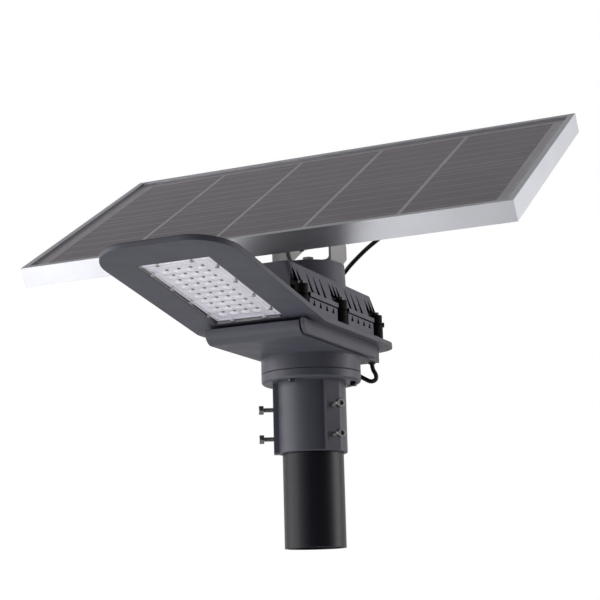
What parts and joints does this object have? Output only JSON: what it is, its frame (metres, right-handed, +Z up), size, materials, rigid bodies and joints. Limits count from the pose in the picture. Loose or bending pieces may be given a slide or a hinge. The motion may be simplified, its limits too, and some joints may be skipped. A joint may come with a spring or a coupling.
{
  "type": "solar street lamp head",
  "caption": "Pole-top solar street lamp: LED head on a swivel sleeve, finned battery box above it and a solar panel on a pan-and-tilt bracket.",
  "frame": {"origin": "centre of the lower end of the pole stub", "axes": "+Z up along the pole, -Y towards the light end, +X along the long side of the solar panel, to the right seen from behind the light end"},
  "size_m": [0.647, 0.5397, 0.5432],
  "materials": {
    "body_paint": "satin powder coat",
    "pole_paint": "satin",
    "frame_aluminium": "anodised satin",
    "bracket_steel": "satin grey",
    "steel_fasteners": "satin",
    "dark_fasteners": "satin",
    "panel_glass": "polished",
    "solar_cell": "semi-gloss",
    "white_sheet": "satin",
    "lens_clear": "moulded clear",
    "led_package": "satin",
    "seal_rubber": "matte",
    "cable_black": "satin",
    "black_plastic": "matte",
    "cell_wrap": "semi-gloss"
  },
  "bodies": {
    "pole": {"pole_tube": "pole_paint", "mounting_collar": "body_paint", "clamp_screws": "steel_fasteners", "swivel_ring": "black_plastic"},
    "head": {"lamp_housing": "body_paint", "belly_casting": "body_paint", "led_board": "white_sheet", "led_chips": "led_package", "lens_gasket": "white_sheet", "lens_plate": "lens_clear", "lens_screws": "steel_fasteners", "battery_box_lower": "body_paint", "box_gasket": "seal_rubber", "battery_box_upper": "body_paint", "box_screws": "dark_fasteners", "battery_cells": "cell_wrap", "cell_holders": "black_plastic", "charge_controller": "black_plastic", "box_gland": "black_plastic", "belly_grommets": "seal_rubber", "belly_cable": "cable_black", "swivel_screws": "steel_fasteners", "pan_bolt": "steel_fasteners", "pan_washer": "steel_fasteners", "pan_nut": "steel_fasteners"},
    "bracket": {"u_bracket": "bracket_steel", "tilt_bolts": "steel_fasteners", "tilt_washers": "steel_fasteners", "tilt_nuts": "steel_fasteners", "panel_cable_lower": "cable_black"},
    "panel": {"frame_rail_front": "frame_aluminium", "frame_rail_rear": "frame_aluminium", "frame_rail_left": "frame_aluminium", "frame_rail_right": "frame_aluminium", "corner_keys": "frame_aluminium", "panel_glass": "panel_glass", "solar_cells": "solar_cell", "backsheet": "white_sheet", "cross_rail_left": "bracket_steel", "cross_rail_right": "bracket_steel", "panel_cradle": "bracket_steel", "rail_bolts": "steel_fasteners", "cradle_bolts": "steel_fasteners", "panel_nuts": "steel_fasteners", "junction_box": "black_plastic", "junction_box_lid": "black_plastic", "junction_gland": "black_plastic", "panel_cable_upper": "cable_black"}
  },
  "joints": [
    {"name": "head_swivel", "type": "hinge", "parent": "pole", "child": "head", "pos_m": [0, 0, 0.215], "axis": [0, 0, 1], "range_deg": [-15, 15]},
    {"name": "bracket_pan", "type": "hinge", "parent": "head", "child": "bracket", "pos_m": [0, 0, 0.353], "axis": [0, 0, 1], "range_deg": [-45, 45], "deforming": ["panel_cable_lower"]},
    {"name": "panel_tilt", "type": "hinge", "parent": "bracket", "child": "panel", "pos_m": [0, -0.0015, 0.3957], "axis": [1, 0, 0], "range_deg": [-25, 2], "deforming": ["panel_cable_upper"]}
  ]
}
